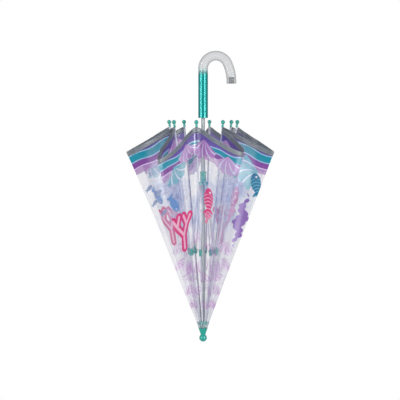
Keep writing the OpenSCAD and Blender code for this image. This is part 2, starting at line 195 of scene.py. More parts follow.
# %% A small language for node trees
class Tree:
    """Adds nodes to a node tree: sockets that it is given are linked, numbers are set."""

    def __init__(self, tree):
        self.tree = tree

    def put(self, socket, value):
        if isinstance(value, bpy.types.NodeSocket):
            self.tree.links.new(value, socket)
        elif isinstance(value, tuple) and len(value) == 3 and socket.type == "RGBA":
            socket.default_value = (*value, 1)
        else:
            socket.default_value = value

    def math(self, operation, a, b=0.0, c=0.0):
        node = self.tree.nodes.new("ShaderNodeMath")
        node.operation = operation
        for socket, value in zip(node.inputs, (a, b, c)):
            self.put(socket, value)
        return node.outputs[0]

    def step(self, value, low, high):
        """0 below low, 1 above high, smooth between; give low above high to turn it round."""
        node = self.tree.nodes.new("ShaderNodeMapRange")
        node.interpolation_type = "SMOOTHSTEP"
        self.put(node.inputs["Value"], value)
        if low > high:
            low, high = high, low
            node.inputs["To Min"].default_value, node.inputs["To Max"].default_value = 1, 0
        node.inputs["From Min"].default_value = low
        node.inputs["From Max"].default_value = high
        return node.outputs["Result"]

    def mix(self, share, a, b):
        node = self.tree.nodes.new("ShaderNodeMix")
        node.data_type = "RGBA"
        self.put(node.inputs[0], share)
        self.put(node.inputs[6], a)
        self.put(node.inputs[7], b)
        return node.outputs[2]

    def vectors(self, operation, a, b):
        """Vector maths; for SCALE, b is a number."""
        node = self.tree.nodes.new("ShaderNodeVectorMath")
        node.operation = operation
        self.put(node.inputs[0], a)
        self.put(node.inputs["Scale"] if operation == "SCALE" else node.inputs[1], b)
        return node.outputs["Value" if operation in ("DOT_PRODUCT", "DISTANCE") else "Vector"]

    def parts(self, vector):
        node = self.tree.nodes.new("ShaderNodeSeparateXYZ")
        self.put(node.inputs[0], vector)
        return tuple(node.outputs)

    def length(self, x, y):
        squares = self.math("MULTIPLY", x, x), self.math("MULTIPLY", y, y)
        return self.math("SQRT", self.math("ADD", *squares))

    def stretched(self, vector, *scale):
        """The place with each axis scaled, for grain that runs longer one way than another."""
        node = self.tree.nodes.new("ShaderNodeMapping")
        node.inputs["Scale"].default_value = scale
        self.put(node.inputs["Vector"], vector)
        return node.outputs[0]

    def noise(self, vector, scale, detail=2.0):
        node = self.tree.nodes.new("ShaderNodeTexNoise")
        self.put(node.inputs["Vector"], vector)
        node.inputs["Scale"].default_value = scale
        node.inputs["Detail"].default_value = detail
        return node.outputs["Fac"]

    def group(self, group, **inputs):
        node = self.tree.nodes.new("ShaderNodeGroup")
        node.node_tree = group
        for name, value in inputs.items():
            self.put(node.inputs[name.replace("_", " ")], value)
        return node.outputs

    def bump(self, height, strength, distance):
        node = self.tree.nodes.new("ShaderNodeBump")
        self.put(node.inputs["Height"], height)
        node.inputs["Strength"].default_value = strength
        node.inputs["Distance"].default_value = distance
        return node.outputs[0]


def new_group(name, inputs, outputs):
    """A node group with named sockets: inputs are (name, type, default), outputs (name, type)."""
    group = bpy.data.node_groups.new(name, "ShaderNodeTree")
    for label, kind, default in inputs:
        socket = group.interface.new_socket(label, in_out="INPUT",
                                            socket_type="NodeSocket" + kind)
        if default is not None:
            socket.default_value = default
    for label, kind in outputs:
        group.interface.new_socket(label, in_out="OUTPUT", socket_type="NodeSocket" + kind)
    ends = group.nodes.new("NodeGroupInput"), group.nodes.new("NodeGroupOutput")
    return group, Tree(group), ends[0].outputs, ends[1].inputs


def new_material(name, roughness=0.3, **plain):
    """A material with one Principled shader, its plain values set, and a Tree to build on."""
    material = bpy.data.materials.new(name)
    material.use_nodes = True
    tree = material.node_tree
    shader = tree.nodes["Principled BSDF"]
    shader.inputs["Roughness"].default_value = roughness
    for label, value in plain.items():
        shader.inputs[label.replace("_", " ")].default_value = value
    return material, Tree(tree), shader.inputs


def object_place(t):
    return t.tree.nodes.new("ShaderNodeTexCoord").outputs["Object"]


def flat_mm(t):
    """The piece's own UV map, which is the flat sheet, in millimetres."""
    uv = t.tree.nodes.new("ShaderNodeUVMap")
    uv.uv_map = "flat"
    return t.vectors("SCALE", uv.outputs[0], 1 / MM)


# %% Shared groups: moulding and drawn metal
moulding, t, given, gives = new_group(
    "moulding",
    [("Place", "Vector", None), ("Colour", "Color", (0.5, 0.5, 0.5, 1)),
     ("Shade", "Float", 0.1)],
    [("Colour", "Color"), ("Roughness", "Float"), ("Height", "Float")],
)
flow = t.noise(given["Place"], 60, 3)
fine = t.noise(given["Place"], 900, 2)
darker = t.math("MULTIPLY", flow, given["Shade"])
t.put(gives["Colour"], t.mix(darker, given["Colour"], (0.0, 0.12, 0.13)))
t.put(gives["Roughness"], t.math("MULTIPLY_ADD", flow, 0.12, 0.22))
t.put(gives["Height"], t.math("MULTIPLY_ADD", flow, 0.7, t.math("MULTIPLY", fine, 0.3)))

drawn_metal, t, given, gives = new_group(
    "drawn_metal",
    [("Place", "Vector", None), ("Colour", "Color", (0.7, 0.7, 0.7, 1))],
    [("Colour", "Color"), ("Roughness", "Float"), ("Height", "Float")],
)
lines = t.noise(t.stretched(given["Place"], 2200, 2200, 8), 1.0, 3)
smudge = t.noise(given["Place"], 45, 2)
in_groove = t.math("MULTIPLY", lines, 0.35)
t.put(gives["Colour"], t.mix(in_groove, given["Colour"], (0.42, 0.43, 0.46)))
t.put(gives["Roughness"], t.math("MULTIPLY_ADD", smudge, 0.22, 0.16))
t.put(gives["Height"], lines)


# %% Plastic and metal materials
def ink(*screen):
    """A colour from its screen values of 0 to 255, by the screen's own curve."""
    shares = [c / 255 for c in screen]
    return tuple(s / 12.92 if s <= 0.04045 else ((s + 0.055) / 1.055) ** 2.4 for s in shares)


def plastic(name, colour, shade=0.25):
    material, t, shader = new_material(name, Coat_Weight=0.12, Coat_Roughness=0.08)
    looks = t.group(moulding, Place=object_place(t), Colour=colour, Shade=shade)
    t.put(shader["Base Color"], looks["Colour"])
    t.put(shader["Roughness"], looks["Roughness"])
    t.put(shader["Normal"], t.bump(looks["Height"], 0.15, 0.0002))
    return material


def metal(name, colour, metallic=1.0):
    material, t, shader = new_material(name, Metallic=metallic)
    looks = t.group(drawn_metal, Place=object_place(t), Colour=colour)
    t.put(shader["Base Color"], looks["Colour"])
    t.put(shader["Roughness"], looks["Roughness"])
    t.put(shader["Normal"], t.bump(looks["Height"], 0.2, 0.0001))
    return material


TEAL = (0.003, 0.42, 0.33)
teal_plastic = plastic("teal_plastic", TEAL)
washer_plastic = plastic("washer_plastic", (0.75, 0.78, 0.80), shade=0.08)
# Painted shade: the real plug is clear, and this dark grey stands in for the dark marks that light
# makes in the clear hook end.
plug_plastic = plastic("plug_plastic", ink(92, 104, 108), shade=0.3)
steel = metal("drawn_steel", (0.27, 0.31, 0.31), metallic=0.15)
wire_steel = metal("wire_steel", (0.55, 0.56, 0.58))
enamel = metal("rib_enamel", (0.80, 0.81, 0.88), metallic=0.0)

# %% [markdown]
# ## The handle
# The hook handle is one acrylic rod. It is teal at the grip and clears to colourless round the
# hook. It could be a curve with a round bevel, but here it is spun as a turner would bend it: a
# circle is extruded up the grip, spun round the crown of the hook, pushed along the short straight
# link and spun again down the long bend. The two ends are rounded with a bevel.

# %% Measure the handle from its own box
CROWN_R = 27.8 * MM
CROWN_PAST = 68           # degrees that the crown's bend goes on past the top
LINK_L = 3.2 * MM
LONG_R = 97.6 * MM
HOOK_END_L = 4 * MM
ROD_SIDES = 64
CROWN_STEPS, LONG_STEPS = 48, 10
END_ROUND, END_STEPS = 2 * MM, 5
SEAT_D = 12.2 * MM        # the plug's seat: across, deep, and how far its cutter stands out
SEAT_DEEP, SEAT_OVER = 14.2 * MM, 1.8 * MM
grip_low, grip_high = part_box("handle")
rod_r = grip_high.y
crown_z = grip_high.z - rod_r - CROWN_R
print("rod radius", rod_r, "height of the crown's centre", crown_z)


# %% Spin the handle
def push(offset):
    bpy.ops.mesh.extrude_region_move(TRANSFORM_OT_translate={"value": offset})


def bend(degrees, steps, centre):
    """Spins the selected end about an axis along Y. The operator counts a turn from +Z to +X
    as negative."""
    bpy.ops.mesh.spin(steps=steps, angle=-math.radians(degrees), center=centre, axis=(0, 1, 0))


past = math.radians(CROWN_PAST)
link_way = Vector((math.cos(past), 0, -math.sin(past)))
spoke = Vector((math.sin(past), 0, math.cos(past)))
crown_centre = Vector((CROWN_R, 0, crown_z))
long_centre = crown_centre + CROWN_R * spoke + LINK_L * link_way - LONG_R * spoke

start_clean()
bpy.ops.mesh.primitive_circle_add(vertices=ROD_SIDES, radius=rod_r, fill_type="NGON",
                                  location=(0, 0, grip_low.z))
handle = bpy.context.object
bpy.ops.object.mode_set(mode="EDIT")
bpy.ops.mesh.select_all(action="SELECT")
push((0, 0, crown_z - grip_low.z))
bend(90 + CROWN_PAST, CROWN_STEPS, crown_centre)
push(LINK_L * link_way)
bend(90 - CROWN_PAST, LONG_STEPS, long_centre)
push((0, 0, -HOOK_END_L))
bpy.ops.mesh.select_all(action="SELECT")
bpy.ops.mesh.remove_doubles(threshold=MERGE_UNDER)
bpy.ops.mesh.normals_make_consistent(inside=False)
bpy.ops.object.mode_set(mode="OBJECT")
hook_end = Vector((long_centre.x + LONG_R, 0, long_centre.z - HOOK_END_L))
print("handle vertices", len(handle.data.vertices), "hook end", tuple(hook_end))


# %% Round the two ends and sink the plug's seat
def select_edges(obj, wanted):
    """In edit mode, selects the edges whose two ends both pass the test."""
    bpy.ops.mesh.select_all(action="DESELECT")
    mesh = bmesh.from_edit_mesh(obj.data)
    mesh.select_mode = {"EDGE"}
    for edge in mesh.edges:
        edge.select = all(wanted(v.co) for v in edge.verts)
    mesh.select_flush(True)
    bmesh.update_edit_mesh(obj.data)


def near_height(z, x_from, x_to):
    return lambda co: abs(co.z - z) < 0.01 * MM and x_from < co.x < x_to


only(handle)
bpy.ops.object.mode_set(mode="EDIT")
bpy.ops.mesh.select_mode(type="EDGE")
for z, x_from, x_to in ((grip_low.z, -1, 1), (hook_end.z, hook_end.x - 1.2 * rod_r, 1)):
    select_edges(handle, near_height(z, x_from, x_to))
    bpy.ops.mesh.bevel(offset=END_ROUND, segments=END_STEPS, affect="EDGES")
bpy.ops.object.mode_set(mode="OBJECT")

start_clean()
seat_middle = hook_end + Vector((0, 0, (SEAT_DEEP - SEAT_OVER) / 2))
bpy.ops.mesh.primitive_cylinder_add(vertices=48, radius=SEAT_D / 2, depth=SEAT_DEEP + SEAT_OVER,
                                    location=seat_middle)
seat = bpy.context.object
only(handle)
cut = handle.modifiers.new("seat", "BOOLEAN")
cut.operation, cut.object, cut.solver = "DIFFERENCE", seat, "EXACT"
bpy.ops.object.modifier_apply(modifier="seat")
bpy.data.objects.remove(seat)

# %% The handle's finish: teal dye that clears towards the hook, and painted shade that darkens its rims
DYE_Z = (grip_high.z - 56 * MM, grip_high.z - 29 * MM)  # the dye is full below and gone above
DYE_X = (rod_r, 2 * rod_r)                              # and none of it is on the hook's far side
handle_acrylic, t, shader = new_material("handle_acrylic", 0.13, IOR=1.49,
                                         Specular_IOR_Level=1.0)
place = object_place(t)
x, _, z = t.parts(place)
dye = t.math("MULTIPLY", t.step(z, DYE_Z[1], DYE_Z[0]), t.step(x, DYE_X[1], DYE_X[0]))
edge = t.tree.nodes.new("ShaderNodeLayerWeight")
edge.inputs["Blend"].default_value = 0.5
# Painted shade: the colour darkens towards the rod's silhouette, in the teal grip and in the clear
# hook alike; the same share also makes those rims less see-through.
rim = t.math("POWER", edge.outputs["Facing"], 1.6)
looks = t.group(moulding, Place=place, Colour=ink(0, 146, 140), Shade=0.12)
dyed = t.mix(rim, looks["Colour"], ink(0, 92, 96))
clear = t.mix(rim, ink(186, 187, 188), ink(70, 74, 78))
t.put(shader["Base Color"], t.mix(dye, clear, dyed))
t.put(shader["Specular Tint"], t.mix(dye, (0.22, 0.22, 0.22), (0.25, 1.0, 0.95)))
see_through = t.math("MULTIPLY_ADD", rim, 0.50, 0.31)
t.put(shader["Alpha"], t.math("MAXIMUM", dye, see_through))
settle(handle, "handle_rod", handle_acrylic)
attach(handle, "root")
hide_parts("handle")
print("handle faces", len(handle.data.polygons))

# %% [markdown]
# ## Where the film folds
# Each gore is one triangle of film. On the closed umbrella it folds outwards down its middle, and
# its two halves hang from two neighbouring ribs. The frame has a hinge for each half, along the
# line where the film lies on its rib, so the hinge gives the line to start from. The far corner
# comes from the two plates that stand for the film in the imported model: the mean of their outermost
# corners, pushed out by the gap that they keep from the fold. A few gores hang a little higher or
# lower, as they do on any umbrella that was shaken shut.

# %% Read the fold lines and the corners
HEM_U = 436 * MM          # the hem, along a rib from its hinge
FILM_U = -2 * MM          # where the film begins there, above the collar
FOLD_GAP = 2.8 * MM
CREASE_R, CREASE_Z = 13.4 * MM, 40 * MM  # where the folds begin, at the ferrule
LIFTS = {1: 5, 2: 4, 3: -5, 4: 3, 5: 7, 6: -9, 7: 7, 8: 9}  # mm that each fold runs on upwards
BULGES = {5: -5, 6: 6, 4: -2}                               # mm that a fold bows outwards


def outermost(node):
    return max((v.co for v in nodes[node].data.vertices), key=lambda co: math.hypot(co.x, co.y))


def gore_corner(k):
    tip = (outermost(f"gore_{k}_left") + outermost(f"gore_{k}_right")) / 2
    out = Vector((tip.x, tip.y, 0)).normalized()
    corner = tip + out * FOLD_GAP
    return corner + (corner - Vector((0, 0, CREASE_Z))).normalized() * LIFTS[k] * MM


class HalfGore:
    """One half of gore k: side 1 hangs on the gore's first rib, side -1 on its second."""

    def __init__(self, k, side):
        self.k, self.side = k, side
        self.name = f"gore_{k}_" + ("left" if side > 0 else "right")
        joint = joints[self.name + "_fold"]
        self.rib = joint["parent"]
        self.origin = np.array(joint["pos_m"])
        self.along = np.array(joint["axis"])
        turn = math.atan2(self.origin[1], self.origin[0])
        self.sideways = side * np.array((-math.sin(turn), math.cos(turn), 0))
        middle = turn + side * math.pi / RIBS
        self.corner = np.array(gore_corner(k))
        self.start = np.array((CREASE_R * math.cos(middle), CREASE_R * math.sin(middle), CREASE_Z))

    def rib_point(self, up):
        return self.origin + np.outer(FILM_U + up * (HEM_U - FILM_U), self.along)

    def crease_point(self, up):
        out = np.array((self.corner[0], self.corner[1], 0))
        out /= np.linalg.norm(out)
        bulge = BULGES.get(self.k, 0) * MM * np.sin(np.pi * up) * up
        return self.start + np.outer(up, self.corner - self.start) + np.outer(bulge, out)


halves = [HalfGore(k, side) for k in range(1, RIBS + 1) for side in (1, -1)]
print("corners", {h.k: tuple(h.corner.round(3)) for h in halves[::2]})

# %% [markdown]
# ## The film
# A gore's half is a thin sheet under no load but its own stiffness, so it is built as a smooth
# surface and not simulated: across it, a curve leaves the rib square to it, because the film runs
# on over the rib, and then swings out to the fold. Long soft waves run from the ferrule to the hem.
# The same surface makes the film and the tape on its hem, so they can't part.
# Its UV map is the flat gore itself in metres: X from the middle fold, Y from the ferrule.

# %% The surface of one half, and its place on the flat gore
LEAVE = 9 * MM            # how far the film runs on square to the rib
REACH = 0.38              # how early it turns into the fold, as a share of its width
SWING = 0.35              # how far the turn at the fold leans back sideways
BILLOWS = {6: 2.2, 7: 2.6}  # gores whose halves swing wider
LEAVE_SHARE = 0.30        # the most that LEAVE may be, as a share of the width
WAVE, RIPPLE = 1.1, 0.4   # millimetres of the film's long waves and of the finer ones
HALF_FLAT = math.radians(15.98)
RIB_FLAT = 13 * MM        # the gore's point, beyond the ribs' hinges
MIDDLE_FLAT = 420.1 * MM
FLAT_WIDE, FLAT_LONG = 123.6 * MM, 431.6 * MM
HEM_RISE = (FLAT_LONG - MIDDLE_FLAT) / FLAT_WIDE


def film_surface(half, up, across):
    """Points at each pair of up (0 at the ferrule, 1 at the hem) and across (0 rib, 1 fold)."""
    rib, fold = half.rib_point(up), half.crease_point(up)
    chord = fold - rib
    width = np.linalg.norm(chord, axis=1, keepdims=True)
    billow = BILLOWS.get(half.k, 1.0)
    leave = rib + half.sideways * np.minimum(LEAVE_SHARE * width, LEAVE * billow ** 0.7)
    swing = chord / width + SWING * billow * up[:, None] ** 2 * half.sideways
    swing /= np.linalg.norm(swing, axis=1, keepdims=True)
    arrive = fold - swing * REACH * width
    a = across[None, :, None]
    points = ((1 - a) ** 3 * rib[:, None] + 3 * (1 - a) ** 2 * a * leave[:, None]
              + 3 * (1 - a) * a * a * arrive[:, None] + a ** 3 * fold[:, None])
    normal = np.cross(chord / width, half.along)
    free = 4 * a * (1 - a) * up[:, None, None] ** 0.8
    phase = 0.37 * half.k + 0.21 * half.side
    rise = up[:, None, None]
    wave = WAVE * np.sin(2 * np.pi * (1.6 * a + phase + 0.30 * np.sin(4 * rise)))
    wave = wave + RIPPLE * np.sin(2 * np.pi * (4.3 * a + 2 * phase + 0.5 * rise))
    return points + wave * free * MM * normal[:, None]


def flat_place(half, up, share):
    """The same points on the flat gore: share is the length across, as a share of the width."""
    along_rib = RIB_FLAT + FILM_U + up * (HEM_U - FILM_U)
    rib = along_rib[:, None] * np.array((math.sin(HALF_FLAT), math.cos(HALF_FLAT)))
    fold = np.stack((0 * up, RIB_FLAT + up * (MIDDLE_FLAT - RIB_FLAT)), axis=1)
    flat = rib[:, None] + (fold - rib)[:, None] * share[..., None]
    flat[..., 0] *= -half.side
    return flat


def length_share(points):
    """How far across each point lies, as a share of its row's own length."""
    steps = np.linalg.norm(np.diff(points, axis=1), axis=2)
    run = np.concatenate((np.zeros((len(points), 1)), np.cumsum(steps, axis=1)), axis=1)
    return run / run[:, -1:]


def grid_piece(name, points, flat, turned, material):
    """A sheet from a grid of points, with its UV map; turned swaps which side faces outwards."""
    rows, cols = points.shape[:2]
    at = np.arange(rows * cols).reshape(rows, cols)
    quads = np.stack((at[:-1, :-1], at[:-1, 1:], at[1:, 1:], at[1:, :-1]), axis=-1)
    quads = quads.reshape(-1, 4)
    if turned:
        quads = quads[:, ::-1]
    mesh = bpy.data.meshes.new(name)
    mesh.from_pydata(points.reshape(-1, 3).tolist(), [], quads.tolist())
    layer = mesh.uv_layers.new(name="flat")
    corners = np.zeros(len(mesh.loops), int)
    mesh.loops.foreach_get("vertex_index", corners)
    layer.data.foreach_set("uv", flat.reshape(-1, 2)[corners].ravel())
    obj = bpy.data.objects.new(name, mesh)
    scene.collection.objects.link(obj)
    return settle(obj, name, material)

# %% [markdown]
# ## The print
# The film is clear vinyl, printed in opaque and half clear inks. All of it is drawn by nodes on the
# flat gore, in millimetres: wavy bands of colour along the hem, then shells, a fish, coral,
# seaweed and bubbles, and faint sketched lines towards the ferrule. Each motif is a node group that
# puts out a mask, placed by a shift and a turn. Shapes are distances: to a point, to a line or to
# an ellipse. The sketched lines, bubbles and haze are noise, so they differ from place to place;
# the haze's long streaks are also painted shade of the film's wrinkles.

# %% Places on the flat gore
def at_point(t, place, x, y, turn=0.0, scale=1.0):
    """The place as seen from (x, y), turned, in units of scale."""
    node = t.tree.nodes.new("ShaderNodeMapping")
    node.vector_type = "TEXTURE"
    t.put(node.inputs["Vector"], place)
    node.inputs["Location"].default_value = (x, y, 0)
    node.inputs["Rotation"].default_value = (0, 0, math.radians(turn))
    node.inputs["Scale"].default_value = (scale, scale, scale)
    return node.outputs[0]


# %% Group: the bands along the hem
HEM_TAPE = 10.5                    # millimetres, as everything in the print
BAND_SPAN = 120                    # from the fold to the rib
WAVE_TURN, WAVE_DEEP = 0.085, 2.0  # the bands' waves: radians a millimetre, and their depth
bands, t, given, gives = new_group(
    "hem_bands",
    [("From fold", "Float", 0.0), ("From hem", "Float", 0.0), ("Teal first", "Float", 0.0)],
    [("Colour", "Color"), ("Ink", "Float")])
share = t.math("DIVIDE", t.math("ABSOLUTE", given["From fold"]), BAND_SPAN)
wave = t.math("SINE", t.math("MULTIPLY", given["From fold"], WAVE_TURN))
depth = t.math("ADD", given["From hem"], t.math("MULTIPLY", wave, WAVE_DEEP))
DEEP_VIOLET, PALE_BLUE, SEA_TEAL = ink(104, 84, 168), ink(176, 214, 240), ink(10, 150, 172)
PLUM, PALE_PINK, LILAC = ink(134, 74, 158), ink(240, 214, 246), ink(176, 136, 190)
violet = t.math("MULTIPLY_ADD", given["Teal first"], -13.0, 16.0)
edges = [t.math("MULTIPLY_ADD", share, violet, HEM_TAPE)]
teal_taper = t.math("MULTIPLY_ADD", given["Teal first"], 11.0, -10.0)
WIDTHS = ((2.2, 0.6), (13.5, teal_taper), (2.2, 0.3), (12.0, -2.0), (1.8, 0.2), (11.0, -2.0))
for at_fold, towards_rib in WIDTHS:
    thickness = t.math("MULTIPLY_ADD", share, towards_rib, at_fold)
    edges.append(t.math("ADD", edges[-1], thickness))
colour, strength = DEEP_VIOLET, 0.93
INKS = ((PALE_BLUE, 0.80), (SEA_TEAL, 0.94), (PALE_BLUE, 0.80), (PLUM, 0.93), (PALE_PINK, 0.88),
        (LILAC, 0.62), (LILAC, 0.0))
for limit, (next_colour, next_ink) in zip(edges, INKS):
    passed = t.step(t.math("SUBTRACT", depth, limit), -0.45, 0.45)
    colour = t.mix(passed, colour, next_colour)
    drop = t.math("SUBTRACT", next_ink, strength)
    strength = t.math("MULTIPLY_ADD", passed, drop, strength)
t.put(gives["Colour"], colour)
t.put(gives["Ink"], strength)

# %% Group: a scallop shell that fans out from its hinge, one unit long
shell, t, given, gives = new_group(
    "scallop_shell", [("Place", "Vector", None), ("Ribs", "Float", 9.0)],
    [("Mask", "Float"), ("Lines", "Float")])
x, y = t.parts(given["Place"])[:2]
reach = t.length(x, y)
angle = t.math("ARCTAN2", x, y)
swirl = t.math("MULTIPLY_ADD", t.math("MULTIPLY", reach, reach), 0.30, angle)
fluting = t.math("COSINE", t.math("MULTIPLY", swirl, given["Ribs"]))
rim = t.math("MULTIPLY_ADD", fluting, 0.045, 0.955)
within = t.step(t.math("SUBTRACT", reach, rim), 0.02, -0.02)
in_fan = t.step(t.math("ABSOLUTE", angle), 1.08, 1.02)
t.put(gives["Mask"], t.math("MULTIPLY", within, in_fan))
grooves = t.step(fluting, -0.72, -0.97)
t.put(gives["Lines"], t.math("MULTIPLY", grooves, t.step(reach, 0.05, 0.3)))

# %% Groups: the distance to a stroke, a fish and seaweed
stroke, t, given, gives = new_group(
    "stroke", [("Place", "Vector", None), ("From", "Vector", None), ("To", "Vector", None)],
    [("Distance", "Float")])
offset = t.vectors("SUBTRACT", given["Place"], given["From"])
line = t.vectors("SUBTRACT", given["To"], given["From"])
run = t.math("DIVIDE", t.vectors("DOT_PRODUCT", offset, line),
             t.vectors("DOT_PRODUCT", line, line))
run = t.math("MINIMUM", t.math("MAXIMUM", run, 0.0), 1.0)
nearest = t.vectors("SCALE", line, run)
t.put(gives["Distance"], t.vectors("DISTANCE", offset, nearest))

fish, t, given, gives = new_group(
    "fish", [("Place", "Vector", None)],
    [("Mask", "Float"), ("Scales", "Float"), ("Eye", "Float")])
x, y = t.parts(given["Place"])[:2]
round_part = t.math("ADD", t.math("POWER", t.math("ABSOLUTE", t.math("DIVIDE", x, 0.36)), 2.0),
                    t.math("POWER", t.math("ABSOLUTE", t.math("DIVIDE", y, 0.72)), 2.0))
body = t.step(round_part, 1.05, 0.93)
behind = t.math("SUBTRACT", -0.55, y)
tail = t.math("MULTIPLY", t.step(behind, -0.02, 0.02), t.step(behind, 0.47, 0.42))
tail_edge = t.math("MULTIPLY_ADD", behind, 0.85, 0.04)
in_tail = t.step(t.math("SUBTRACT", t.math("ABSOLUTE", x), tail_edge), 0.02, -0.02)
tail = t.math("MULTIPLY", tail, in_tail)
t.put(gives["Mask"], t.math("MAXIMUM", body, tail))
bow = t.math("MULTIPLY_ADD", t.math("MULTIPLY", x, x), 40.0, t.math("MULTIPLY", y, 26.0))
arcs = t.step(t.math("SINE", bow), 0.55, 0.85)
t.put(gives["Scales"], t.math("MULTIPLY", arcs, t.step(y, 0.35, 0.2)))
eye = t.length(t.math("SUBTRACT", x, 0.10), t.math("SUBTRACT", y, 0.42))
t.put(gives["Eye"], t.step(eye, 0.075, 0.055))

seaweed, t, given, gives = new_group("seaweed", [("Place", "Vector", None)], [("Mask", "Float")])
x, y = t.parts(given["Place"])[:2]
sway = t.math("MULTIPLY", t.math("SINE", t.math("MULTIPLY", y, 7.0)), 0.09)
blade = t.math("MULTIPLY_ADD", t.math("ABSOLUTE", y), -0.24, 0.25)
lobes = t.math("ABSOLUTE", t.math("SINE", t.math("MULTIPLY", y, 11.0)))
half_wide = t.math("ADD", blade, t.math("MULTIPLY", lobes, 0.10))
off_line = t.math("ABSOLUTE", t.math("SUBTRACT", x, sway))
t.put(gives["Mask"], t.step(t.math("SUBTRACT", off_line, half_wide), 0.02, -0.02))

# %% Groups: faint sketched lines and bubbles, and the haze of clear vinyl with painted wrinkle shade
sketch, t, given, gives = new_group(
    "sketched_lines", [("Place", "Vector", None)], [("Ink", "Float")])
drift = t.noise(given["Place"], 0.045, 3.0)
lines = t.math("ABSOLUTE", t.math("SUBTRACT", drift, 0.5))
thin = t.step(lines, 0.020, 0.006)
patches = t.step(t.noise(given["Place"], 0.014, 1.0), 0.42, 0.62)
t.put(gives["Ink"], t.math("MULTIPLY", t.math("MULTIPLY_ADD", thin, 0.55, 0.30), patches))

bubbles, t, given, gives = new_group("bubbles", [("Place", "Vector", None)], [("Ring", "Float")])
cells = t.tree.nodes.new("ShaderNodeTexVoronoi")
cells.voronoi_dimensions = "2D"
cells.inputs["Scale"].default_value = 0.075
cells.inputs["Randomness"].default_value = 0.75
t.put(cells.inputs["Vector"], given["Place"])
ring = t.math("ABSOLUTE", t.math("SUBTRACT", cells.outputs["Distance"], 0.19))
t.put(gives["Ring"], t.step(ring, 0.055, 0.025))

vinyl, t, given, gives = new_group(
    "clear_vinyl", [("Place", "Vector", None), ("Flat", "Vector", None)],
    [("Haze", "Float"), ("Roughness", "Float"), ("Height", "Float")])
# The long streaks are partly haze and partly painted shade of the film's wrinkles: they tint it
# darker lilac, make it less clear and raise its bumps.
streaks = t.noise(t.stretched(given["Flat"], 0.10, 0.012, 1), 1.0, 3.0)
cloud = t.noise(given["Place"], 22, 2.0)
faint_cloud = t.math("MULTIPLY", cloud, 0.4)
t.put(gives["Haze"], t.math("MULTIPLY_ADD", t.step(streaks, 0.50, 0.72), 0.6, faint_cloud))
t.put(gives["Roughness"], t.math("MULTIPLY_ADD", cloud, 0.14, 0.08))
t.put(gives["Height"], t.math("MULTIPLY_ADD", streaks, 0.8, t.math("MULTIPLY", cloud, 0.5)))
print("print groups", [g.name for g in bpy.data.node_groups])

# %% One print, put together from its groups
PINK_SHELL, TEAL_SHELL, MAUVE_SHELL = ink(196, 156, 208), ink(104, 178, 194), ink(176, 120, 190)
PALE_LINES, FAINT_LINES, EYE_WHITE = ink(222, 226, 244), ink(190, 126, 196), ink(240, 244, 250)
DEEP_SEA, SKY, GLITTER = ink(14, 108, 150), ink(92, 140, 200), ink(168, 124, 204)
MAGENTA, ROSE = ink(222, 36, 120), ink(248, 184, 208)
CORAL = (((0, 0), (2, 16)), ((2, 16), (-7, 30)), ((2, 16), (9, 28)), ((9, 28), (6, 40)),
         ((9, 28), (17, 36)), ((-7, 30), (-12, 40)), ((-7, 30), (-2, 42)))


class Print:
    """The colour and the cover of the ink at a place on the flat gore, built up layer by layer.
    Each row of a motif begins with its x and y in millimetres, its turn in degrees and its size."""

    def __init__(self, t, flat, colour, cover):
        self.t, self.flat, self.colour, self.cover = t, flat, colour, cover

    def over(self, mask, paint, strength=0.9):
        self.colour = self.t.mix(mask, self.colour, paint)
        self.cover = self.t.math("MAXIMUM", self.cover, self.t.math("MULTIPLY", mask, strength))

    def placed(self, group, x, y, turn, size, **inputs):
        return self.t.group(group, Place=at_point(self.t, self.flat, x, y, turn, size), **inputs)

    def shells(self, *rows):
        for *where, paint, ribs in rows:
            fan = self.placed(shell, *where, Ribs=ribs)
            self.over(fan["Mask"], self.t.mix(fan["Lines"], paint, PALE_LINES), 0.72)

    def faint(self, *rows):
        for *where, paint, ribs in rows:
            fan = self.placed(shell, *where, Ribs=ribs)
            self.over(fan["Mask"], paint, 0.27)
            self.over(self.t.math("MULTIPLY", fan["Mask"], fan["Lines"]), FAINT_LINES, 0.75)

    def fishes(self, *rows):
        for *where, paint, scales in rows:
            swimmer = self.placed(fish, *where)
            skin = self.t.mix(swimmer["Scales"], paint, scales)
            self.over(swimmer["Mask"], self.t.mix(swimmer["Eye"], skin, EYE_WHITE), 0.93)

    def weeds(self, *rows):
        for *where, paint in rows:
            weed = self.placed(seaweed, *where)
            glitter = self.t.step(self.t.noise(self.flat, 0.9, 1.0), 0.56, 0.62)
            self.over(weed["Mask"], self.t.mix(glitter, paint, GLITTER), 0.92)

    def corals(self, *rows):
        for where in rows:
            grove, nearest = at_point(self.t, self.flat, *where), None
            for start, end in CORAL:
                branch = self.t.group(stroke, Place=grove, From=(*start, 0), To=(*end, 0))
                reach = branch["Distance"]
                nearest = reach if nearest is None else self.t.math("MINIMUM", nearest, reach)
            self.over(self.t.step(nearest, 5.4, 4.8), MAGENTA, 0.94)
            self.over(self.t.step(nearest, 1.9, 1.4), ROSE, 0.92)


